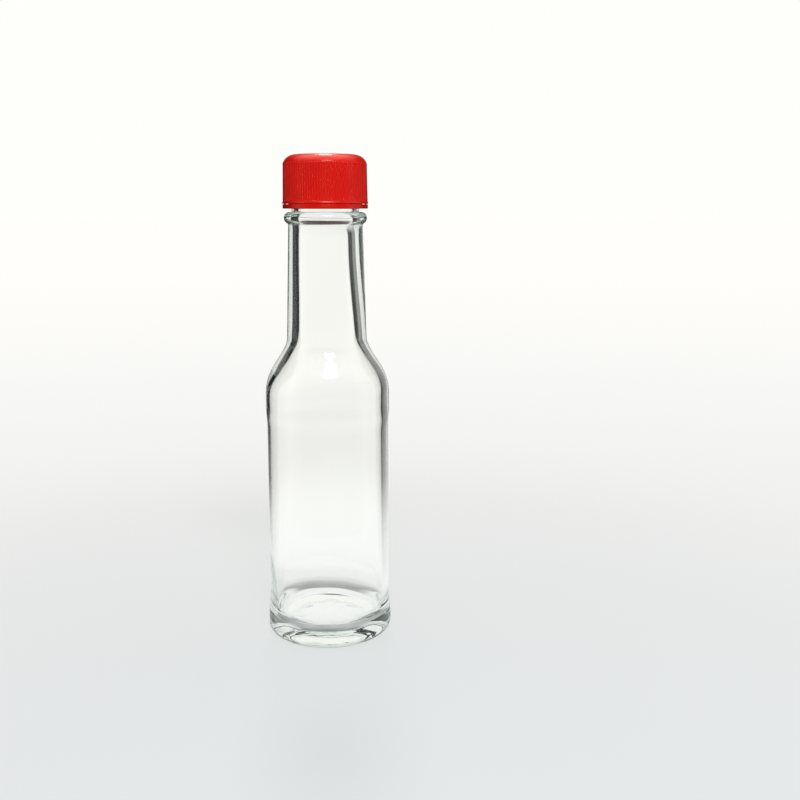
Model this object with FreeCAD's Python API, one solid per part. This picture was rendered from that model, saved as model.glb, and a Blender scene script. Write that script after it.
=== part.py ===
"""Long-neck sauce bottle of clear glass with a ribbed 28 mm screw cap, empty and closed.

Millimetres, +Z up. The origin is the middle of the ring that the bottle stands on.
Two pieces: the blown glass bottle, and the moulded cap with its tamper-evident band.
The thread that would lie between the two is left out: its space is there, as a clearance.
"""
import FreeCAD, Part
import math
import os

# ---- Glass: heights above the standing surface -------------------------------------------
mouth_height = 168.2        # top of the lip, where the cap's disc presses
ring_height = 148.6         # middle of the neck ring
shoulder_height = 98.9      # middle of the shoulder's straight slope
panel_top = 77.5            # upper end of the recessed label panel
panel_bottom = 11.0         # lower end of the label panel

# ---- Glass: outside radii -----------------------------------------------------------------
shoulder_radius = 21.8      # band over the label panel, the first of two that rub on other bottles
heel_radius = 22.2          # band under the label panel
panel_radius = 21.45        # label panel, recessed between the two
neck_top_radius = 12.85     # neck just under its ring
neck_root_radius = 14.0     # neck where the shoulder begins
ring_reach = 1.45           # how far the neck ring, which the filling line grips, stands out
finish_radius = 12.3        # plain cylinder that carries the thread
relief_depth = 0.7          # narrow waist between the neck ring and the finish

# ---- Glass: walls and rounding ------------------------------------------------------------
panel_wall = 2.0
bore_radius = 9.3           # mouth and upper neck
bore_root_radius = 10.1     # bore where the shoulder begins
shoulder_slope = 0.63       # millimetres of radius lost per millimetre of height
inner_slope = 0.69          # the same on the inside: glass gathers towards the neck
shoulder_wall = 3.4         # glass at the middle of the slope, measured level
shoulder_rounding = 19.0
neck_rounding = 10.0
inner_shoulder_rounding = 14.0
inner_neck_rounding = 12.0
panel_step = 1.6            # height over which the heel band runs out into the panel
heel_step_rounding = 2.0
shoulder_swell = 4.0        # height over which the panel swells to the shoulder band
panel_rounding = 20.0       # the panel runs out into the shoulder band without an edge
ring_bead = 2.05            # radius of the neck ring's round section
ring_blend = 0.8            # hollow under the neck ring
lip_rounding = 0.8
lip_share = 0.45            # no more than this share of the lip is rounded on each side
waist_rounding = 0.3        # where the waist meets the neck ring
finish_softness = 0.5       # at both ends of the cone from the waist out to the finish
finish_lead = 1.4           # height of the cone from the waist out to the finish

# ---- Glass: base --------------------------------------------------------------------------
heel_rounding = 3.5
standing_ring_width = 1.7   # flat ring that touches the table
pushup_height = 2.6         # hollow under the base
pushup_flat_radius = 10.0
pushup_rounding = 20.0
base_edge_glass = 7.0       # glass under the edge of the inner floor
wall_foot_rise = 2.6        # the wall begins to close in this far above that edge
floor_edge_radius = 17.0
floor_edge_rounding = 0.8
floor_rise = 0.3            # the inner floor is higher in the middle
floor_flat_radius = 9.0
floor_rounding = 40.0
inner_corner_rounding = 4.0
edge_softness = 0.4         # inner edge of the standing ring, and the step above the waist

# ---- Cap ----------------------------------------------------------------------------------
disc_thickness = 1.5        # over the lip
crown_rise = 0.35           # the top is slightly domed
skirt_wall = 1.4            # at the plain lower rim
skirt_draft = 0.25          # the skirt is this much narrower at its shoulder
crown_rounding = 4.2
dome_rounding = 60.0        # the flat middle of the top runs out into the dome
thread_clearance = 1.05     # room for the thread between finish and skirt
rim_height = 0.8            # plain lip under the ribs
shoulder_line = 2.4         # upper end of the ribs, down from the cap's edge: they run out on the rounding
rib_count = 100
rib_depth = 0.3
rib_relief = 0.05           # rib tips lie this little under the rim
rib_share = 0.55            # of the pitch, at the tip of a rib
flank_share = 0.7           # of the room between two tips, taken by the sloping flanks
cavity_rounding = 0.8
moulded_softness = 0.15     # edges of skirt and band

# ---- Tamper-evident band ------------------------------------------------------------------
band_height = 1.5
band_inset = 0.1            # the band is this much smaller than the rim above it
band_ring_clearance = 1.1   # between the band and the neck ring
slit_height = 0.3           # broken when the cap is first opened
band_foot_rounding = 0.25   # outer lower edge of the band
bridge_count = 12
bridge_width = 0.9
bridge_depth = 0.6
bridge_root = 0.2           # a bridge reaches this far into skirt and band, and starts this far out

# ---- Places worked out from the sizes above -----------------------------------------------
inner_radius = panel_radius - panel_wall
ring_top = ring_height + ring_bead
band_bottom = ring_top + band_ring_clearance
band_top = band_bottom + band_height
skirt_bottom = band_top + slit_height
cap_edge_height = mouth_height + disc_thickness
rib_top = cap_edge_height - shoulder_line
rib_bottom = skirt_bottom + rim_height
cavity_radius = finish_radius + thread_clearance
skirt_radius = cavity_radius + skirt_wall
ring_radius = neck_top_radius + ring_reach
relief_radius = finish_radius - relief_depth
lip_softness = min(lip_rounding, lip_share * (finish_radius - bore_radius))


def at(radius, height):
    """A point of a half section."""
    return FreeCAD.Vector(radius, 0, height)


def rounded_chain(corners):
    """Lines through corners (radius, height, rounding), each corner turned into a tangent arc."""
    edges = []
    start = at(*corners[0][:2])
    for before, here, after in zip(corners, corners[1:], corners[2:]):
        tip = at(*here[:2])
        back = (at(*before[:2]) - tip).normalize()
        on = (at(*after[:2]) - tip).normalize()
        half_angle = back.getAngle(on) / 2
        reach = here[2] / math.tan(half_angle)
        inward = (back + on).normalize()
        middle = tip + inward * (here[2] / math.sin(half_angle) - here[2])
        edges.append(Part.LineSegment(start, tip + back * reach).toShape())
        edges.append(Part.Arc(tip + back * reach, middle, tip + on * reach).toShape())
        start = tip + on * reach
    edges.append(Part.LineSegment(start, at(*corners[-1][:2])).toShape())
    return edges


def revolved(edges):
    """The solid that a closed half section sweeps round the axis."""
    face = Part.Face(Part.Wire(Part.sortEdges(edges)[0]))
    solid = face.revolve(FreeCAD.Vector(0, 0, 0), FreeCAD.Vector(0, 0, 1), 360)
    if solid.ShapeType != "Solid":
        solid = Part.Solid(Part.Shell(solid.Faces))
    return solid


def line(start, end):
    return Part.LineSegment(start, end).toShape()


def base_and_body_outside(neck_end):
    """From the middle of the hollow base out over heel, panel and shoulder, and up the neck."""
    ring_inner = heel_radius - heel_rounding - standing_ring_width
    half_slope = (shoulder_radius - neck_root_radius) / 2 / shoulder_slope
    return rounded_chain([
        (0, pushup_height, 0),
        (pushup_flat_radius, pushup_height, pushup_rounding),
        (ring_inner, 0, edge_softness),
        (heel_radius, 0, heel_rounding),
        (heel_radius, panel_bottom - panel_step, heel_step_rounding),
        (panel_radius, panel_bottom, heel_step_rounding),
        (panel_radius, panel_top, panel_rounding),
        (shoulder_radius, panel_top + shoulder_swell, panel_rounding),
        (shoulder_radius, shoulder_height - half_slope, shoulder_rounding),
        (neck_root_radius, shoulder_height + half_slope, neck_rounding),
        (neck_end.x, neck_end.z, 0),
    ])


def neck_ring():
    """The round bead with a hollow under it, and the end of the neck that it grows from."""
    centre = at(ring_radius - ring_bead, ring_height)
    hollow_radius = neck_top_radius + ring_blend
    drop = math.sqrt((ring_bead + ring_blend) ** 2 - (hollow_radius - centre.x) ** 2)
    hollow = at(hollow_radius, ring_height - drop)
    towards = (centre - hollow).normalize()
    neck_end = at(neck_top_radius, hollow.z)
    bead_start = hollow + towards * ring_blend
    middle_way = ((neck_end - hollow).normalize() + towards).normalize()
    edges = [
        Part.Arc(neck_end, hollow + middle_way * ring_blend, bead_start).toShape(),
        Part.Arc(bead_start, at(ring_radius, ring_height), at(centre.x, ring_top)).toShape(),
    ]
    return edges, neck_end, at(centre.x, ring_top)


def finish_outside(bead_end):
    """The waist over the neck ring, the cylinder for the thread, and the lip."""
    return rounded_chain([
        (bead_end.x, bead_end.z, 0),
        (relief_radius, bead_end.z, waist_rounding),
        (relief_radius, band_bottom + edge_softness, finish_softness),
        (finish_radius, band_bottom + edge_softness + finish_lead, finish_softness),
        (finish_radius, mouth_height, lip_softness),
        (bore_radius, mouth_height, lip_softness),
        (bore_radius, ring_height, 0),
    ])


def inside():
    """Bore, shoulder, wall and floor, from the upper neck down to the middle of the floor."""
    slope_middle = (shoulder_radius + neck_root_radius) / 2 - shoulder_wall
    above = shoulder_height + (slope_middle - bore_root_radius) / inner_slope
    below = shoulder_height - (inner_radius - slope_middle) / inner_slope
    return rounded_chain([
        (bore_radius, ring_height, 0),
        (bore_root_radius, above, inner_neck_rounding),
        (inner_radius, below, inner_shoulder_rounding),
        (inner_radius, base_edge_glass + wall_foot_rise, inner_corner_rounding),
        (floor_edge_radius, base_edge_glass, floor_edge_rounding),
        (floor_flat_radius, base_edge_glass + floor_rise, floor_rounding),
        (0, base_edge_glass + floor_rise, 0),
    ])


def glass_bottle():
    ring, neck_end, bead_end = neck_ring()
    axis = line(at(0, base_edge_glass + floor_rise), at(0, pushup_height))
    return revolved(base_and_body_outside(neck_end) + ring + finish_outside(bead_end) + inside() + [axis])


def skirt_radius_at(height):
    """The drafted outside of the cap, which narrows upwards."""
    share = (height - skirt_bottom) / (rib_top - skirt_bottom)
    return skirt_radius - skirt_draft * share


def plain_cap():
    """The cap before its ribs: domed disc, round shoulder, drafted skirt and cavity."""
    edge_radius = skirt_radius_at(cap_edge_height)
    return revolved(rounded_chain([
        (0, cap_edge_height + crown_rise, 0),
        (edge_radius / 2, cap_edge_height + crown_rise, dome_rounding),
        (edge_radius, cap_edge_height, crown_rounding),
        (skirt_radius, skirt_bottom, moulded_softness),
        (cavity_radius, skirt_bottom, moulded_softness),
        (cavity_radius, mouth_height, cavity_rounding),
        (0, mouth_height, 0),
    ]) + [line(at(0, mouth_height), at(0, cap_edge_height + crown_rise))])


def rib_outline(height):
    """A closed star of ribs at one height."""
    tip = skirt_radius_at(height) - rib_relief
    root = tip - rib_depth
    pitch = 2 * math.pi / rib_count
    spread = rib_share * pitch / 2
    flank = flank_share * (pitch / 2 - spread)
    corners = []
    for rib in range(rib_count):
        middle = rib * pitch
        for radius, turn in ((root, -spread - flank), (tip, -spread), (tip, spread), (root, spread + flank)):
            angle = middle + turn
            corners.append(FreeCAD.Vector(radius * math.cos(angle), radius * math.sin(angle), height))
    return Part.makePolygon(corners + corners[:1])


def rib_cutter():
    """Everything round the skirt that is not rib, between the plain rim and the shoulder line."""
    ribs = Part.makeLoft([rib_outline(rib_bottom), rib_outline(rib_top)], True, True)
    sleeve = Part.makeCylinder(skirt_radius + 2, rib_top - rib_bottom, at(0, rib_bottom))
    return sleeve.cut(ribs)


def tamper_band():
    """The band under the skirt, with the thin bridges that tie it to the skirt."""
    outer = skirt_radius - band_inset
    band = revolved(rounded_chain([
        (cavity_radius, band_bottom + band_height / 2, 0),
        (cavity_radius, band_bottom, moulded_softness),
        (outer, band_bottom, band_foot_rounding),
        (outer, band_top, moulded_softness),
        (cavity_radius, band_top, moulded_softness),
        (cavity_radius, band_bottom + band_height / 2, 0),
    ]))
    foot = FreeCAD.Vector(cavity_radius + bridge_root, -bridge_width / 2, band_top - bridge_root)
    bridge = Part.makeBox(bridge_depth, bridge_width, slit_height + 2 * bridge_root, foot)
    for turn in range(bridge_count):
        one = bridge.copy()
        one.rotate(FreeCAD.Vector(0, 0, 0), FreeCAD.Vector(0, 0, 1), 360 / bridge_count * turn)
        band = band.fuse(one)
    return band


def screw_cap():
    """Cap and band are one moulding until the bridges are broken."""
    return plain_cap().cut(rib_cutter()).fuse(tamper_band())


def save(name, shape):
    solid = shape.Solids[0]
    if len(shape.Solids) != 1 or not solid.isValid():
        raise ValueError(f"{name} is not one valid solid")
    solid.exportStep(f"parts/{name}.step")
    box = solid.BoundBox
    print(f"{name}: {solid.Volume / 1000:.2f} cm3, {len(solid.Faces)} faces, "
          f"z {box.ZMin:.2f} to {box.ZMax:.2f}, width {box.XLength:.2f}")


os.makedirs("parts", exist_ok=True)
save("glass_bottle", glass_bottle())
save("screw_cap", screw_cap())
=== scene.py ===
# %% [markdown]
# # A clear glass sauce bottle with a ribbed red screw cap
#
# This file dresses a bottle whose construction is already fixed: a hollow glass bottle and the plastic cap
# screwed onto it. We load that frame first, measure it, and then make the two surfaces as smooth and as
# finely ribbed as the real ones, with the finishes that make glass read as glass and plastic as plastic.
# We print the size of the frame at the start.

# %% Load the frame and measure it
import bmesh
import bpy
import math
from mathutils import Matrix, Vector


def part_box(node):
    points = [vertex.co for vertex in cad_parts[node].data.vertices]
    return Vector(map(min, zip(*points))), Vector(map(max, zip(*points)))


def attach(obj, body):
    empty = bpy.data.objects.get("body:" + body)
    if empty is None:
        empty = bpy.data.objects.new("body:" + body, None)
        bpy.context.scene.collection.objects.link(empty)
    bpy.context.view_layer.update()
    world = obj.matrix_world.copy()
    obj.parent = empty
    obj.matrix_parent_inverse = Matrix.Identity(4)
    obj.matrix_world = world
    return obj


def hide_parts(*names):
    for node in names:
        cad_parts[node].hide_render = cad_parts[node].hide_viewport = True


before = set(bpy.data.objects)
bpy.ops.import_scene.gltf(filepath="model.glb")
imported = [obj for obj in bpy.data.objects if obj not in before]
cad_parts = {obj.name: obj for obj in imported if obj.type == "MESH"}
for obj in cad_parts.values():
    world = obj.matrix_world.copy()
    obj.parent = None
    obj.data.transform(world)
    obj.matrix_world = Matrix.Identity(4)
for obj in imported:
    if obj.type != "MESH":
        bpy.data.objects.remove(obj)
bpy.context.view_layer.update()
glass_low, glass_high = (Vector(corner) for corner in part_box("glass_bottle"))
cap_low, cap_high = (Vector(corner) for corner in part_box("screw_cap"))
mm = 0.001
print("glass", glass_low, glass_high)
print("cap", cap_low, cap_high)

# %% [markdown]
# ## A half section with round corners
#
# A blown bottle and a moulded cap are both bodies of revolution: every cut through the axis looks the same.
# So we draw only half of that cut, as corners that each carry a rounding radius, and let a helper turn each
# corner into a smooth arc. Drawing with corners keeps the sizes readable, while a freehand curve would need
# many points whose meaning nobody can read. Straight stretches are divided too, because even points along
# the wall keep the shading calm and leave room for the small unevenness of real glass.

# %% Helpers that round the corners and spin the section
def rounded_section(corners, arc_step=math.radians(4), line_step=1.6 * mm):
    """Points (radius, height) through corners (radius, height, rounding), with arcs at the corners."""
    points = [Vector(corners[0][:2])]

    def straight_to(end):
        start = points[-1]
        pieces = max(1, math.ceil((end - start).length / line_step))
        points.extend(start.lerp(end, piece / pieces) for piece in range(1, pieces + 1))

    for before, here, after in zip(corners, corners[1:], corners[2:]):
        tip = Vector(here[:2])
        back = (Vector(before[:2]) - tip).normalized()
        on = (Vector(after[:2]) - tip).normalized()
        half_angle = back.angle(on) / 2
        reach = here[2] / math.tan(half_angle)
        centre = tip + (back + on).normalized() * (here[2] / math.sin(half_angle))
        first, last = tip + back * reach, tip + on * reach
        straight_to(first)
        sweep = math.pi - 2 * half_angle
        pieces = max(2, math.ceil(sweep / arc_step))
        for piece in range(1, pieces + 1):
            share = piece / pieces
            from_centre = (first - centre).lerp(last - centre, share).normalized() * here[2]
            points.append(centre + from_centre)
    straight_to(Vector(corners[-1][:2]))
    return points


def spun(name, section, around, shift=None, ring=False):
    """A closed mesh: both ends of the section lie on the axis, or it closes on itself as a ring."""
    verts, faces, rows = [], [], []
    for index, (radius, height) in enumerate(section):
        if radius < 1e-7:
            rows.append([len(verts)])
            verts.append((0, 0, height))
            continue
        rows.append(range(len(verts), len(verts) + around))
        for step in range(around):
            angle = 2 * math.pi * step / around
            r, z = (radius, height) if shift is None else shift(index, radius, height, angle)
            verts.append((r * math.cos(angle), r * math.sin(angle), z))
    for lower, upper in zip(rows, rows[1:] + rows[:1] if ring else rows[1:]):
        for step in range(around):
            ahead = (step + 1) % around
            if len(lower) == 1:
                faces.append((lower[0], upper[ahead], upper[step]))
            elif len(upper) == 1:
                faces.append((lower[step], lower[ahead], upper[0]))
            else:
                faces.append((lower[step], lower[ahead], upper[ahead], upper[step]))
    mesh = bpy.data.meshes.new(name)
    mesh.from_pydata(verts, [], faces)
    mesh.validate()
    mesh.shade_smooth()
    piece = bpy.data.objects.new(name, mesh)
    bpy.context.scene.collection.objects.link(piece)
    print(f"{name}: {len(verts)} points, {len(faces)} faces")
    return piece

# %% [markdown]
# ## The bottle: glass with an outside and an inside
#
# Clear glass shows both of its surfaces, so the wall has to have its real thickness: light bends once where
# it enters and again where it leaves, and a single skin would look like a soap bubble. We draw the outside
# from the hollow under the base up to the mouth, turn over the lip, and come down the inside to the floor.
# The section ends on the axis twice, so the spun mesh is one closed solid of glass.
#
# We could keep the mesh that comes with the frame. It is right in size, but its facets would each bend the
# light a little differently and draw stripes through the neck, so we spin a finer one to the same sizes.

# %% The bottle's sizes
mouth = glass_high.z
cap_seat = cap_low.z                            # lower edge of the tamper-evident band
ring_middle = 148.6 * mm
shoulder_middle = 98.9 * mm
panel_from, panel_to = 11.0 * mm, 77.5 * mm
heel_radius, shoulder_radius, panel_radius = 22.2 * mm, 21.8 * mm, 21.45 * mm
neck_root, neck_top = 14.0 * mm, 12.85 * mm
finish_radius = 12.3 * mm
waist_radius = finish_radius - 0.7 * mm
waist_height, finish_lead = 0.4 * mm, 1.4 * mm  # the waist ends over the cap's seat, a cone widens above it
ring_reach, ring_bead, ring_blend = 1.45 * mm, 2.05 * mm, 0.8 * mm
outer_slope, inner_slope = 0.63, 0.69           # radius lost per height on the shoulder
wall, shoulder_wall = 2.0 * mm, 3.4 * mm        # at the panel, and level through the middle of the shoulder
bore_top, bore_root = 9.3 * mm, 10.1 * mm
heel_rounding, standing_ring = 3.5 * mm, 1.7 * mm
wall_foot, floor_edge, floor_middle, hollow_height = 9.6 * mm, 7.0 * mm, 7.3 * mm, 2.6 * mm
floor_edge_radius, floor_flat, hollow_flat = 17.0 * mm, 9.0 * mm, 10.0 * mm
print("mouth", mouth, "seat of the cap", cap_seat)

# %% Outside of the bottle, from the hollow base to the neck ring
def arc_points(centre, start, end, radius, pieces):
    """Points on an arc, counted from one angle to the other."""
    angles = [start + (end - start) * piece / pieces for piece in range(pieces + 1)]
    return [centre + Vector((math.cos(angle), math.sin(angle))) * radius for angle in angles]


def bottle_outside():
    half_slope = (shoulder_radius - neck_root) / 2 / outer_slope
    hollow_edge = heel_radius - heel_rounding - standing_ring
    bead_middle = Vector((neck_top + ring_reach - ring_bead, ring_middle))
    blend_x = neck_top + ring_blend
    drop = math.sqrt((ring_bead + ring_blend) ** 2 - (blend_x - bead_middle.x) ** 2)
    blend = Vector((blend_x, ring_middle - drop))
    body = rounded_section([
        (0, hollow_height, 0),
        (hollow_flat, hollow_height, 20.0 * mm),
        (hollow_edge, 0, 0.4 * mm),
        (heel_radius, 0, heel_rounding),
        (heel_radius, panel_from - 5.0 * mm, 16.0 * mm),
        (panel_radius, panel_from + 4.0 * mm, 40.0 * mm),
        (panel_radius, panel_to, 20.0 * mm),
        (shoulder_radius, panel_to + 4.0 * mm, 20.0 * mm),
        (shoulder_radius, shoulder_middle - half_slope, 19.0 * mm),
        (neck_root, shoulder_middle + half_slope, 10.0 * mm),
        (neck_top, blend.y, 0),
    ])
    towards = (bead_middle - blend).normalized()
    hollow = arc_points(blend, math.pi, math.atan2(towards.y, towards.x), ring_blend, 8)
    bead = arc_points(bead_middle, math.atan2(-towards.y, -towards.x), math.pi / 2, ring_bead, 28)
    return body + hollow[1:] + bead[1:]


outside = bottle_outside()
print("outside", len(outside), "points, widest", max(p.x for p in outside))

# %% [markdown]
# ## The finish, the bore and the floor
#
# Above the neck ring comes the finish, the part that carries the cap. Its lip is rounded, because a sharp
# glass edge would chip. Inside, the bore widens slowly down the neck, and the glass gathers in the shoulder
# and in the base, where a bottle is always thickest. The wall meets the floor in a wide rounding. A tiny
# gutter and ridge run round the floor's edge, and they draw the thin dark lines seen there.

# %% Finish, bore and floor
def bottle_inside():
    waist_top = cap_seat + waist_height
    slope_middle = (shoulder_radius + neck_root) / 2 - shoulder_wall
    inner = panel_radius - wall
    upper = rounded_section([
        tuple(outside[-1]) + (0,),
        (waist_radius, outside[-1].y, 0.3 * mm),
        (waist_radius, waist_top, 0.5 * mm),
        (finish_radius, waist_top + finish_lead, 0.5 * mm),
        (finish_radius, mouth, 0.8 * mm),
        (bore_top, mouth, 0.8 * mm),
        (bore_top, ring_middle, 0),
    ])
    lower = rounded_section([
        (bore_top, ring_middle, 0),
        (bore_root, shoulder_middle + (slope_middle - bore_root) / inner_slope, 20.0 * mm),
        (inner, shoulder_middle - (inner - slope_middle) / inner_slope, 14.0 * mm),
        (inner, wall_foot + 0.5 * mm, 8.0 * mm),
        (floor_edge_radius + 0.8 * mm, floor_edge - 0.3 * mm, 0.35 * mm),
        (floor_edge_radius, floor_edge + 0.5 * mm, 0.35 * mm),
        (floor_edge_radius - 1.1 * mm, floor_edge, 0.8 * mm),
        (floor_flat, floor_middle, 40.0 * mm),
        (0, floor_middle, 0),
    ], line_step=2.0 * mm)
    return upper[1:], lower[1:]


finish, hollow_of_the_bottle = bottle_inside()
first_inside = len(outside) + len(finish)
section = outside + finish + hollow_of_the_bottle
print("whole section", len(section), "points, the blown inside starts at", first_inside)

# %% [markdown]
# ## The unevenness of blown glass
#
# The mould makes the outside, but air blows the inside, and the hot glass never spreads evenly. In this
# bottle the hollow sits off centre: in the body the wall is thin on the left and thick on the right, and the
# neck is a little narrower inside, mostly on the right near the ring. A few slow sine waves do the rest,
# strongest in the thick base, where they break up the light. The hollow under the base is slightly lumpy,
# and the outside of the shoulder has a trace of unevenness from the mould. Random noise would give the same
# amount everywhere, while glass is uneven in slow sweeps, so sine waves come closer.

# %% Slow waves, and where each of them acts
def smooth_step(low, high, value):
    """Zero below, one above, and a soft rise between."""
    share = max(0, min(1, (value - low) / (high - low)))
    return share * share * (3 - 2 * share)


def waves(angle, *parts):
    """A sum of sine waves round the axis; each part is (size, waves per turn, phase)."""
    return sum(size * math.sin(turns * angle + phase) for size, turns, phase in parts)


hollow_lumps = 0.20 * mm
shoulder_trace, shoulder_reach = 0.012 * mm, 12 * mm
body_wider, body_swing = 0.35, 0.60             # millimetres: the bore's growth and its shift to the left
neck_narrower, neck_end_narrower = 0.40, 0.70   # millimetres: all round, and mostly on the right
base_reach, axis_fade = 9 * mm, 8 * mm


def uneven_outside(radius, height, angle):
    in_the_hollow = height < hollow_height + 0.1 * mm and radius < heel_radius - heel_rounding
    if in_the_hollow:
        under = smooth_step(0, 1.2 * mm, height) * smooth_step(8 * mm, 14 * mm, radius)
        return radius, height + hollow_lumps * under * waves(angle, (1, 5, 0.6), (0.6, 8, 2.0))
    near_shoulder = math.exp(-((height - shoulder_middle) / shoulder_reach) ** 2)
    uneven = waves(angle, (1, 3, height / (1.9 * mm)), (1, 7, -height / (3.1 * mm)))
    return radius - shoulder_trace * near_shoulder * (2 + uneven), height


def wavy_inside(index, radius, height, angle):
    """Slow unevenness of the blown inside, and a trace of it on the outside."""
    if index < first_inside:
        return uneven_outside(radius, height, angle)
    low = math.exp(-max(0, height - floor_edge) / base_reach)
    body = smooth_step(12 * mm, 30 * mm, height) * (1 - smooth_step(84 * mm, 100 * mm, height))
    below_the_ring = 1 - smooth_step(143.5 * mm, ring_middle, height)
    neck = smooth_step(94 * mm, 124 * mm, height) * below_the_ring
    neck_end = smooth_step(104 * mm, 138 * mm, height) * below_the_ring
    wave = (waves(angle, (0.04, 2, height / (18 * mm)), (0.03, 3, 1.3))
            + body * (body_wider - body_swing * math.cos(angle))
            - neck * neck_narrower
            - neck_end * neck_end_narrower * (1 + math.cos(angle))
            + low * waves(angle, (0.08, 3, 0.7), (0.07, 5, 2.1), (0.06, 9, 0.4)))
    fade = min(1, radius / axis_fade)
    ripple = low * fade * waves(angle, (0.07, 4, 1.9), (0.05, 7, 0))
    return radius + wave * mm * fade, height + ripple * mm


# %% Spin the bottle
bottle = spun("bottle", section, 216, wavy_inside)
bottle.visible_diffuse = False
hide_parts("glass_bottle")
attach(bottle, "root")

# %% [markdown]
# ## Small helpers for materials
#
# A procedural material is a little chain of sums. These helpers each add one link of the chain, so that the
# materials below read as what they do and not as long lists of nodes.

# %% Helpers for nodes
def material(name):
    made = bpy.data.materials.new(name)
    made.use_nodes = True
    nodes, links = made.node_tree.nodes, made.node_tree.links
    nodes.clear()
    return made, nodes, links


def sum_of(nodes, links, operation, *sources):
    """A Math node; each source is a socket to link or a number to set."""
    node = nodes.new("ShaderNodeMath")
    node.operation = operation
    for socket, source in zip(node.inputs, sources):
        if isinstance(source, bpy.types.NodeSocket):
            links.new(source, socket)
        else:
            socket.default_value = source
    return node.outputs[0]


def mapped(nodes, links, value, taken, given, soft=False):
    """A value from the range taken, mapped to the range given, along a line or a soft curve."""
    node = nodes.new("ShaderNodeMapRange")
    if soft:
        node.interpolation_type = "SMOOTHSTEP"
    links.new(value, node.inputs["Value"])
    node.inputs["From Min"].default_value, node.inputs["From Max"].default_value = taken
    node.inputs["To Min"].default_value, node.inputs["To Max"].default_value = given
    return node.outputs["Result"]


def coloured(nodes, links, value, stops, interpolation="LINEAR"):
    """A colour for a value; stops are (position, red, green, blue)."""
    node = nodes.new("ShaderNodeValToRGB")
    node.color_ramp.interpolation = interpolation
    elements = node.color_ramp.elements
    while len(elements) < len(stops):
        elements.new(0.5)
    for element, (position, red, green, blue) in zip(elements, stops):
        element.position = position
        element.color = (red, green, blue, 1)
    links.new(value, node.inputs["Fac"])
    return node.outputs["Color"]


def speckle(nodes, links, place, scale, detail):
    """Soft noise over a place."""
    node = nodes.new("ShaderNodeTexNoise")
    node.inputs["Scale"].default_value = scale
    node.inputs["Detail"].default_value = detail
    links.new(place, node.inputs["Vector"])
    return node.outputs["Fac"]


def blend_of(nodes, links, share, first, second):
    """A mix of two shaders: none of the second at zero, all of it at one."""
    node = nodes.new("ShaderNodeMixShader")
    links.new(share, node.inputs["Fac"])
    links.new(first, node.inputs[1])
    links.new(second, node.inputs[2])
    return node.outputs[0]


print("helpers ready")

# %% [markdown]
# ## Clear glass
#
# Bottle glass is a clear solid with a refractive index near 1.52 and a trace of iron that tints it green
# only where it is thick, as in the base. So the colour doesn't go on the surface: the surface is white and
# fully transmitting, and a volume takes away a little red along the way. Blender's glass blocks lamp light
# like a wall unless caustics are worked out, which is slow and noisy. A common way round is to let shadow
# rays pass straight through, so the bottle throws the light shadow that real glass throws.

# %% The glass material
def glass_material():
    made, nodes, links = material("clear_bottle_glass")
    out = nodes.new("ShaderNodeOutputMaterial")
    glass = nodes.new("ShaderNodeBsdfPrincipled")
    glass.inputs["Base Color"].default_value = (1.0, 1.0, 0.99, 1)
    glass.inputs["Transmission Weight"].default_value = 1.0
    glass.inputs["Roughness"].default_value = 0.0
    glass.inputs["IOR"].default_value = 1.52
    passing = nodes.new("ShaderNodeBsdfTransparent")
    passing.inputs["Color"].default_value = (0.94, 0.96, 0.95, 1)
    path = nodes.new("ShaderNodeLightPath")
    surface = blend_of(nodes, links, path.outputs["Is Shadow Ray"], glass.outputs[0], passing.outputs[0])
    links.new(surface, out.inputs["Surface"])
    tint = nodes.new("ShaderNodeVolumeAbsorption")
    tint.inputs["Color"].default_value = (0.66, 0.77, 0.72, 1)
    tint.inputs["Density"].default_value = 14.0
    links.new(tint.outputs[0], out.inputs["Volume"])
    return made


bottle.data.materials.append(glass_material())
print("glass on", bottle.name)

# %% [markdown]
# ## The cap: a moulding with a hundred fine ribs
#
# The cap is injection moulded in one shot. Fine ribs round the skirt give grip; they end under a smooth
# shoulder and above a plain rim that stands out a little. Below a narrow slit hangs the tamper-evident band,
# tied on by thin bridges that tear at the first opening. An array of separate rib boxes would leave hard
# joints, so the ribs are part of the surface: each point of the skirt moves in by the depth of the groove at
# its angle. At the foot the grooves run out within a third of a millimetre. At the top they run into the
# rounding of the shoulder, and each rib ends there in a tiny bead, which catches the light as a dot.

# %% The cap's sizes
crown_rise = 0.35 * mm
cap_edge = cap_high.z - crown_rise
cavity = finish_radius + 1.05 * mm
outside_from = cavity + 0.5 * mm                # what lies further out belongs to the outside of the skirt
rim_radius = cap_high.x
draft = 0.25 * mm
rib_top = cap_edge - 2.4 * mm
band_top = cap_low.z + 1.5 * mm
skirt_foot = band_top + 0.16 * mm
rib_foot = skirt_foot + 0.4 * mm
rib_count, around_per_rib = 100, 10
groove_depth, groove_sharpness = 0.20 * mm, 2.5
rib_run_out = 0.32 * mm
rim_reach = 0.15 * mm                           # the plain rim stands out this far under the ribs
bead_height, bead_drop, bead_width = 0.09 * mm, 0.54 * mm, 0.13 * mm
crown_radius = rim_radius - draft * (cap_edge - skirt_foot) / (rib_top - skirt_foot)
print("ribs from", rib_foot, "to", rib_top)

# %% Extra rows of points where the ribs begin and end
rib_ends = 1.2 * mm                             # height under the upper end that gets extra rows
shares_at_foot = (0.01, 0.5, 1, 1.35, 1.7, 2)
shares_at_top = (0, 0.1, 0.2, 0.3, 0.375, 0.45, 0.525, 0.6, 0.7, 0.85, 1)
rib_rows = ([rib_foot + rib_run_out * share for share in shares_at_foot]
            + [rib_top - rib_ends * share for share in shares_at_top])


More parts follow.
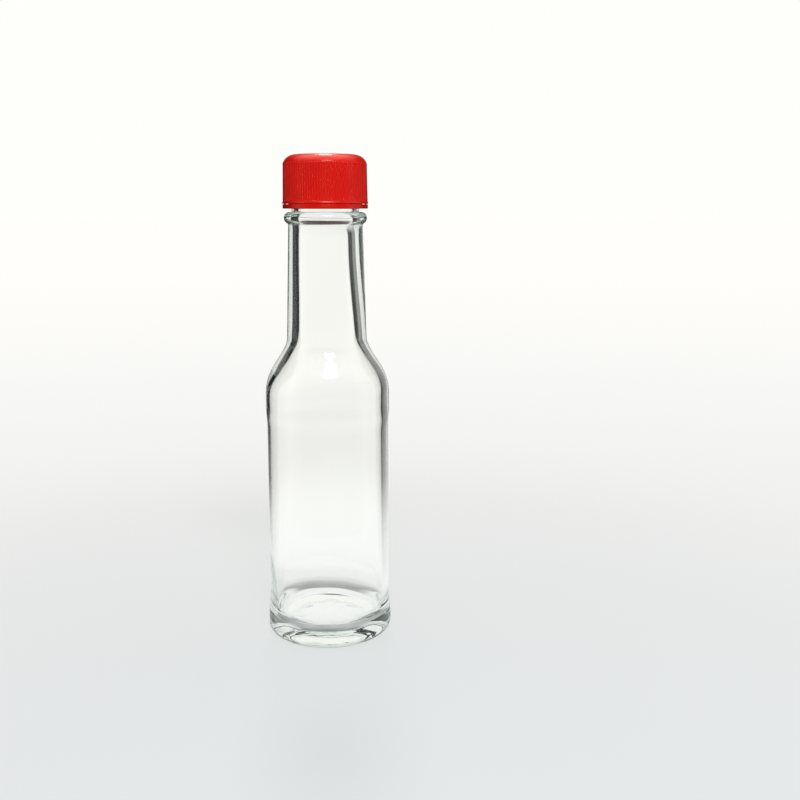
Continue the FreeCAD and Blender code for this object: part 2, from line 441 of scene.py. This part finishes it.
def with_rows(section, heights):
    """The section with extra points where its outside passes each height."""
    finer = []
    for point, following in zip(section, section[1:]):
        finer.append(point)
        if min(point.x, following.x) > outside_from:
            lowest, highest = min(point.y, following.y), max(point.y, following.y)
            between = [z for z in heights if lowest < z < highest]
            rise = following.y - point.y
            between.sort(reverse=rise < 0)
            finer.extend(point.lerp(following, (z - point.y) / rise) for z in between)
    return finer + section[-1:]


print(len(rib_rows), "extra rows")

# %% Skirt, shoulder and cavity
def cap_section():
    plain = rounded_section([
        (0, mouth, 0),
        (cavity, mouth, 0.8 * mm),
        (cavity, skirt_foot, 0.15 * mm),
        (rim_radius, skirt_foot, 0.15 * mm),
        (crown_radius, cap_edge, 4.2 * mm),
        (crown_radius / 2, cap_edge + crown_rise, 60 * mm),
        (0, cap_edge + crown_rise, 0),
    ], arc_step=math.radians(9), line_step=3.0 * mm)
    return with_rows(plain, rib_rows)


def ribbed(index, radius, height, angle):
    """Ribs between a slightly prouder rim and the shoulder, where the grooves run out on the rounding."""
    if radius < outside_from or not rib_foot < height < rib_top:
        return radius, height
    line = rim_radius - draft * (height - skirt_foot) / (rib_top - skirt_foot)
    tip = min(radius, line - rim_reach * min(1, (height - rib_foot) / rib_run_out))
    root = min(radius, line - rim_reach - groove_depth)
    groove = (0.5 - 0.5 * math.cos(rib_count * angle)) ** groove_sharpness
    in_the_ribs = max(0, min(1, (height - rib_foot) / rib_run_out - 1))
    from_the_bead = (height - rib_top + bead_drop) / bead_width
    bead = bead_height * math.exp(-from_the_bead ** 2) * (1 - groove)
    return tip + bead + (root - tip) * groove * in_the_ribs, height


cap = spun("cap", cap_section(), rib_count * around_per_rib, ribbed)

# %% [markdown]
# ## The tamper-evident band and its bridges
#
# The band is a plain ring, a tenth of a millimetre smaller than the rim above it. The slit between them is
# very narrow, and a dozen bridges cross it on the inner half of the wall, where they can be moulded. Band
# and bridges belong to the same moulding as the cap, so we join them to it as one piece.

# %% Band and bridges
def band_section():
    outer = rim_radius - 0.1 * mm
    half_way = (cap_low.z + band_top) / 2
    corners = rounded_section([
        (cavity, half_way, 0),
        (cavity, cap_low.z, 0.15 * mm),
        (outer, cap_low.z, 0.25 * mm),
        (outer, band_top, 0.15 * mm),
        (cavity, band_top, 0.15 * mm),
        (cavity, half_way, 0),
    ], arc_step=math.radians(15))
    return corners[:-1]


bridge_from, bridge_to, bridge_half_width = cavity + 0.2 * mm, cavity + 0.8 * mm, 0.45 * mm
bridge_foot, bridge_head = band_top - 0.2 * mm, skirt_foot + 0.1 * mm
block_faces = ((3, 2, 1, 0), (4, 5, 6, 7), (0, 1, 5, 4), (1, 2, 6, 5), (2, 3, 7, 6), (3, 0, 4, 7))


def bridge(angle):
    """Corner points of one small block across the slit."""
    across = Vector((math.cos(angle), math.sin(angle), 0))
    along = Vector((-math.sin(angle), math.cos(angle), 0)) * bridge_half_width
    foot = [across * bridge_from - along, across * bridge_to - along,
            across * bridge_to + along, across * bridge_from + along]
    return [corner + Vector((0, 0, height)) for height in (bridge_foot, bridge_head) for corner in foot]


def bridges(count):
    verts, faces = [], []
    for number in range(count):
        first = len(verts)
        verts.extend(bridge(2 * math.pi * number / count))
        faces.extend([first + corner for corner in face] for face in block_faces)
    mesh = bpy.data.meshes.new("bridges")
    mesh.from_pydata(verts, [], faces)
    return mesh


def join_into(piece, mesh):
    """Add another mesh to a piece, as one more part of the same moulding."""
    whole = bmesh.new()
    whole.from_mesh(piece.data)
    whole.from_mesh(mesh)
    whole.to_mesh(piece.data)
    whole.free()


band = spun("band", band_section(), 240, ring=True)
join_into(cap, band.data)
join_into(cap, bridges(12))
bpy.data.objects.remove(band)
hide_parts("screw_cap")
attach(cap, "root")
print("cap", len(cap.data.polygons), "faces")

# %% [markdown]
# ## Red plastic
#
# The cap is polypropylene coloured all through: a clean red with a soft gloss. Polished steel moulds leave
# it smooth but never mirror-like, so the roughness stays around a quarter and drifts slowly over the
# surface. We tint the gloss slightly warm, so that highlights stay red and don't turn pink. A very faint
# bump gives the skin that moulded plastic has. It is far smaller than the ribs, which are real shape.

# %% The cap material
def cap_plastic():
    made, nodes, links = material("red_cap_plastic")
    out = nodes.new("ShaderNodeOutputMaterial")
    plastic = nodes.new("ShaderNodeBsdfPrincipled")
    plastic.inputs["IOR"].default_value = 1.49
    plastic.inputs["Specular IOR Level"].default_value = 0.45
    plastic.inputs["Specular Tint"].default_value = (1.0, 0.85, 0.65, 1)
    place = nodes.new("ShaderNodeTexCoord").outputs["Object"]
    drift = speckle(nodes, links, place, 90, 3)
    shade = coloured(nodes, links, drift, ((0.3, 0.64, 0.0050, 0.0028), (0.7, 0.70, 0.0065, 0.0038)))
    roughness = mapped(nodes, links, drift, (0, 1), (0.20, 0.28))
    bump = nodes.new("ShaderNodeBump")
    bump.inputs["Strength"].default_value = 0.01
    bump.inputs["Distance"].default_value = 0.05 * mm
    links.new(speckle(nodes, links, place, 1500, 2), bump.inputs["Height"])
    links.new(shade, plastic.inputs["Base Color"])
    links.new(roughness, plastic.inputs["Roughness"])
    links.new(bump.outputs["Normal"], plastic.inputs["Normal"])
    links.new(plastic.outputs[0], out.inputs["Surface"])
    return made


cap.data.materials.append(cap_plastic())
print("plastic on", cap.name)

# %% [markdown]
# ## A pale floor that fades into white
#
# Clear glass has no look of its own: it shows the room, bent. So the room matters as much as the bottle.
# The floor is a wide pale disc whose colour is painted lighter with distance, a painted light falloff, and
# it meets a white surrounding without an edge. Near the bottle it is matt paper, which takes the soft shadow
# under the base. Further out it turns
# into an even glow, because paper under soft lamps would end in a grey horizon.
#
# What gloss and glass see of the floor is always the glow, with a painted dark ring close round the base: it
# stands for the shade at the foot of a real bottle, which the thick glass bends into dark wedges. Under the
# base and beyond the ring the glow is painted a little brighter. The eye doesn't see the ring. The paper
# also throws less light back up than it would, so the cap isn't lit from below.

# %% The tone of the floor
# Painted light falloff: these tones make the floor's colour darker near the eye and lighter far off.
painted_falloff_tones = ((0.0, 0.765, 0.785, 0.80), (0.17, 0.80, 0.82, 0.815), (0.33, 0.88, 0.88, 0.865),
               (0.55, 0.935, 0.935, 0.92), (0.78, 0.99, 0.98, 0.95), (1.0, 1.0, 0.991, 0.957))
nearest, farthest = 0.25, 2.5                   # metres from under the eye, where the tones begin and end
under_the_eye = (0, -0.35, 0)
# Painted shade and light for glass and gloss: a dark ring round the foot, brighter under the base and beyond
# it.
painted_ring_shade_and_light = ((0.0, 1.08), (0.066, 1.05), (0.074, 0.30), (0.083, 0.50), (0.10, 0.82), (0.13, 0.98),
               (0.20, 1.10), (0.45, 1.10), (0.85, 1.0))
ring_span = 300 * mm                            # the distance at which a ring's position is one
ring_centre = (0, 6 * mm, 0)
ring_wobble = 1.5 * mm
paper_ends = (0.10, 0.32)                       # metres from the bottle, between which paper turns to glow


def distance_from(nodes, links, place, centre):
    offset = nodes.new("ShaderNodeVectorMath")
    offset.operation = "SUBTRACT"
    offset.inputs[1].default_value = centre
    length = nodes.new("ShaderNodeVectorMath")
    length.operation = "LENGTH"
    links.new(place, offset.inputs[0])
    links.new(offset.outputs["Vector"], length.inputs[0])
    return length.outputs["Value"]


def painted_falloff_tone(nodes, links, place):
    """Lighter with distance, by its logarithm: a painted light falloff, darker near the eye and lighter far
    off.
    """
    away = distance_from(nodes, links, place, under_the_eye)
    along = sum_of(nodes, links, "LOGARITHM", away, 10)
    span = mapped(nodes, links, along, (math.log10(nearest), math.log10(farthest)), (0, 1))
    return coloured(nodes, links, span, painted_falloff_tones, "B_SPLINE")


def ring_at_the_base(nodes, links, place):
    """Painted shade round the foot of the bottle, and painted light under the base and beyond it, with a
    slightly uneven edge.
    """
    patches = speckle(nodes, links, place, 70, 1)
    swing = mapped(nodes, links, patches, (0.3, 0.7), (-ring_wobble, ring_wobble))
    away = distance_from(nodes, links, place, ring_centre)
    near = mapped(nodes, links, sum_of(nodes, links, "ADD", away, swing), (0, ring_span), (0, 1))
    greys = [(position, grey, grey, grey) for position, grey in painted_ring_shade_and_light]
    return coloured(nodes, links, near, greys, "EASE")


print(len(painted_falloff_tones), "tones and", len(painted_ring_shade_and_light), "shades")

# %% The floor and its material
def floor_glow(nodes, links, place, away, bent):
    """What gloss and glass see of the floor, and the eye far away."""
    shaded = nodes.new("ShaderNodeMix")
    shaded.data_type = "RGBA"
    shaded.blend_type = "MULTIPLY"
    links.new(bent, shaded.inputs["Factor"])
    links.new(painted_falloff_tone(nodes, links, place), shaded.inputs["A"])
    links.new(ring_at_the_base(nodes, links, place), shaded.inputs["B"])
    glow = nodes.new("ShaderNodeEmission")
    links.new(shaded.outputs["Result"], glow.inputs["Color"])
    links.new(mapped(nodes, links, away, paper_ends, (1.05, 1.0), soft=True), glow.inputs["Strength"])
    return glow.outputs[0]


def floor_paper(nodes, links, place, bouncing):
    """Matt paper that throws back only a part of the light that falls on it."""
    dimmed = nodes.new("ShaderNodeVectorMath")
    dimmed.operation = "SCALE"
    links.new(painted_falloff_tone(nodes, links, place), dimmed.inputs[0])
    links.new(mapped(nodes, links, bouncing, (0, 1), (1.0, 0.15)), dimmed.inputs["Scale"])
    paper = nodes.new("ShaderNodeBsdfDiffuse")
    links.new(dimmed.outputs["Vector"], paper.inputs["Color"])
    return paper.outputs[0]


def floor_material():
    made, nodes, links = material("pale_floor")
    place = nodes.new("ShaderNodeTexCoord").outputs["Object"]
    ray = nodes.new("ShaderNodeLightPath").outputs
    away = distance_from(nodes, links, place, (0, 0, 0))
    bent = sum_of(nodes, links, "MAXIMUM", ray["Is Glossy Ray"], ray["Is Transmission Ray"])
    beyond = mapped(nodes, links, away, paper_ends, (0.3, 1.0), soft=True)
    by_eye = sum_of(nodes, links, "MULTIPLY", beyond, ray["Is Camera Ray"])
    share = sum_of(nodes, links, "MAXIMUM", by_eye, bent)
    paper = floor_paper(nodes, links, place, ray["Is Diffuse Ray"])
    glow = floor_glow(nodes, links, place, away, bent)
    out = nodes.new("ShaderNodeOutputMaterial")
    links.new(blend_of(nodes, links, share, paper, glow), out.inputs["Surface"])
    return made


bpy.ops.mesh.primitive_circle_add(vertices=128, radius=12, fill_type="NGON", location=(0, 0, glass_low.z))
floor = bpy.context.object
floor.name = "floor"
floor.data.materials.append(floor_material())
print("floor at", floor.location.z)

# %% [markdown]
# ## The surrounding
#
# The world is white to the camera and in what the glass reflects and lets through. As a light it is almost
# off, so that the lamps alone shape the cap and its red comes out about as it is written.

# %% World
def white_surrounding():
    world = bpy.data.worlds.new("white_room")
    bpy.context.scene.world = world
    world.use_nodes = True
    nodes, links = world.node_tree.nodes, world.node_tree.links
    nodes.clear()
    out = nodes.new("ShaderNodeOutputWorld")
    seen = nodes.new("ShaderNodeBackground")
    seen.inputs["Color"].default_value = (1.0, 0.997, 0.96, 1)
    light = nodes.new("ShaderNodeBackground")
    light.inputs["Strength"].default_value = 0.05
    ray = nodes.new("ShaderNodeLightPath").outputs
    straight = sum_of(nodes, links, "MAXIMUM", ray["Is Camera Ray"], ray["Is Glossy Ray"])
    share = sum_of(nodes, links, "MAXIMUM", straight, ray["Is Transmission Ray"])
    links.new(blend_of(nodes, links, share, light.outputs[0], seen.outputs[0]), out.inputs["Surface"])
    return world


print("world", white_surrounding().name)

# %% [markdown]
# ## Dark screens for dark edges
#
# A photographer who wants clear glass to stand out on white puts black cards to the left and right, out of
# the picture. The wall of the neck acts as a strong lens: near its edges it looks sideways, finds a card,
# and draws a dark line along the glass. We do the same with curved screens that run in along the floor, so
# that the lines reach down to the base. Their darkness fades towards the sides, the top and the inner end,
# because flat cards with hard edges would draw hard bars.
#
# Only glass and gloss see the screens, so they take no light away. Two of them are for what the glass lets
# through. They are dark only to rays that have stayed inside one wall of the bottle: a ray that passes
# through both walls sees the white room, so the bottle stays clear when a screen stands straight behind it.
# The other three are for gloss alone: two darken the flanks of the cap, and the third is the dark room in
# front, without which glass would mirror white everywhere.

# %% A curved screen
run_in = ((0.14, 0.35), (0.22, 0.8))            # (distance, strength) on the way in along the floor
above_the_floor, fading_top = 0.5 * mm, 1.3
columns_per_shade = 8
deepest_ray = 3.5                               # surfaces passed by a ray that stayed inside one wall


def screen_mesh(name, shades, near, distance, height):
    """The screen's surface, with its darkness point by point; shades are (azimuth, darkness)."""
    steps = range(columns_per_shade)
    columns = [(math.radians(first + (last - first) * part / columns_per_shade),
                start + (end - start) * part / columns_per_shade)
               for (first, start), (last, end) in zip(shades, shades[1:]) for part in steps]
    columns.append((math.radians(shades[-1][0]), shades[-1][1]))
    profile = [(near, above_the_floor, 0), *((radius, above_the_floor, share) for radius, share in run_in),
               (distance, above_the_floor, 1), (distance, height, 1), (distance, height * fading_top, 0)]
    verts, dark = [], []
    for turn, darkness in columns:
        outward = Vector((-math.sin(turn), math.cos(turn), 0))
        for radius, z, share in profile:
            verts.append(outward * radius + Vector((0, 0, z)))
            dark.append(darkness * share)
    rows = len(profile)
    corners = [column * rows + row for column in range(len(columns) - 1) for row in range(rows - 1)]
    faces = [(corner, corner + rows, corner + rows + 1, corner + 1) for corner in corners]
    mesh = bpy.data.meshes.new(name)
    mesh.from_pydata(verts, [], faces)
    mesh.attributes.new("darkness", "FLOAT", "POINT").data.foreach_set("value", dark)
    return mesh


def screen_black(name):
    """Black where the screen is dark, and nothing at all for rays that have left the wall."""
    made, nodes, links = material(name + "_black")
    out = nodes.new("ShaderNodeOutputMaterial")
    black = nodes.new("ShaderNodeEmission")
    black.inputs["Color"].default_value = (0.02, 0.022, 0.02, 1)
    clear = nodes.new("ShaderNodeBsdfTransparent")
    shade = nodes.new("ShaderNodeAttribute")
    shade.attribute_name = "darkness"
    ray = nodes.new("ShaderNodeLightPath").outputs
    in_the_wall = sum_of(nodes, links, "LESS_THAN", ray["Transmission Depth"], deepest_ray)
    darkness = sum_of(nodes, links, "MULTIPLY", in_the_wall, shade.outputs["Fac"])
    surface = blend_of(nodes, links, darkness, clear.outputs[0], black.outputs[0])
    links.new(surface, out.inputs["Surface"])
    return made


def dark_screen(name, shades, near, distance, height, through_glass=True):
    mesh = screen_mesh(name, shades, near, distance, height)
    mesh.materials.append(screen_black(name))
    screen = bpy.data.objects.new(name, mesh)
    bpy.context.scene.collection.objects.link(screen)
    screen.visible_camera = screen.visible_diffuse = screen.visible_shadow = False
    screen.visible_transmission = through_glass
    print(name, len(mesh.polygons), "faces")


# %% The five screens
dark_screen("screen_left", [(18, 0), (24, 1), (70, 1), (76, 0)], 0.05, 0.36, 0.42)
dark_screen("screen_right", [(-18, 0), (-24, 0.75), (-42, 0.75), (-48, 1), (-66, 1), (-72, 0)],
            0.05, 0.36, 0.42)
dark_screen("edge_left", [(2, 0), (6, 0.85), (85, 0.85), (105, 0)], 0.10, 0.40, 0.42, through_glass=False)
dark_screen("edge_right", [(-2, 0), (-6, 0.85), (-45, 0.85), (-60, 0.45), (-95, 0.45), (-110, 0)],
            0.10, 0.40, 0.42, through_glass=False)
dark_screen("room_in_front", [(105, 0), (130, 0.8), (230, 0.8), (255, 0)], 0.30, 0.90, 0.85,
            through_glass=False)

# %% [markdown]
# ## Soft lights
#
# Four soft boxes. A large one overhead models the cap's shoulder, and a small one behind puts a highlight on
# the far edge of its top. One in front and a little to the right is reflected as the bright window on the
# bottle's shoulder. The last, low in front, lights the ribs and isn't reflected, so it leaves no second
# window in the glass.

# %% Lamps
def soft_box(name, place, size, power, reflected):
    data = bpy.data.lights.new(name, "AREA")
    data.shape = "RECTANGLE"
    data.size, data.size_y = size
    data.energy = power
    lamp = bpy.data.objects.new(name, data)
    lamp.location = place
    middle_of_the_bottle = Vector((0, 0, glass_high.z / 2))
    lamp.rotation_euler = (middle_of_the_bottle - Vector(place)).to_track_quat("-Z", "Y").to_euler()
    lamp.visible_camera = lamp.visible_transmission = False
    lamp.visible_glossy = reflected
    bpy.context.scene.collection.objects.link(lamp)


soft_box("overhead", (0.0, 0.15, 1.50), (1.6, 1.2), 9.7, True)
soft_box("behind", (0.0, 0.42, 0.84), (0.12, 0.24), 1.6, True)
soft_box("front_right", (0.10, -0.75, 0.98), (0.46, 0.22), 4.4, True)
soft_box("front_fill", (0.10, -1.30, 0.45), (0.6, 0.6), 12.5, False)

# %% [markdown]
# ## The camera
#
# The camera stands a forearm's length away, level with the lower edge of the cap, and looks slightly down:
# the cap is seen straight from the side and the base from above. It is turned a little to the right, so
# the bottle stands left of the middle. Light takes many turns in the thick base before it comes out, so we
# allow two dozen bounces: with the usual few, the base turns black.

# %% Camera
looking_down, turned_right = 9.59, 4.21         # degrees
bounces_in_glass = 24


def camera():
    data = bpy.data.cameras.new("camera")
    data.sensor_width = 36
    data.lens = 45.0
    data.shift_y = -0.03
    data.clip_start = 0.01
    eye = bpy.data.objects.new("camera", data)
    eye.location = (0, -0.350, 0.1523)
    eye.rotation_euler = (math.radians(90 - looking_down), 0, math.radians(-turned_right))
    bpy.context.scene.collection.objects.link(eye)
    bpy.context.scene.camera = eye
    bpy.context.scene.view_settings.view_transform = "Standard"
    cycles = bpy.context.scene.cycles
    cycles.max_bounces = bounces_in_glass
    cycles.transmission_bounces = bounces_in_glass
    cycles.glossy_bounces = bounces_in_glass
    return eye


print("camera at", tuple(camera().location))
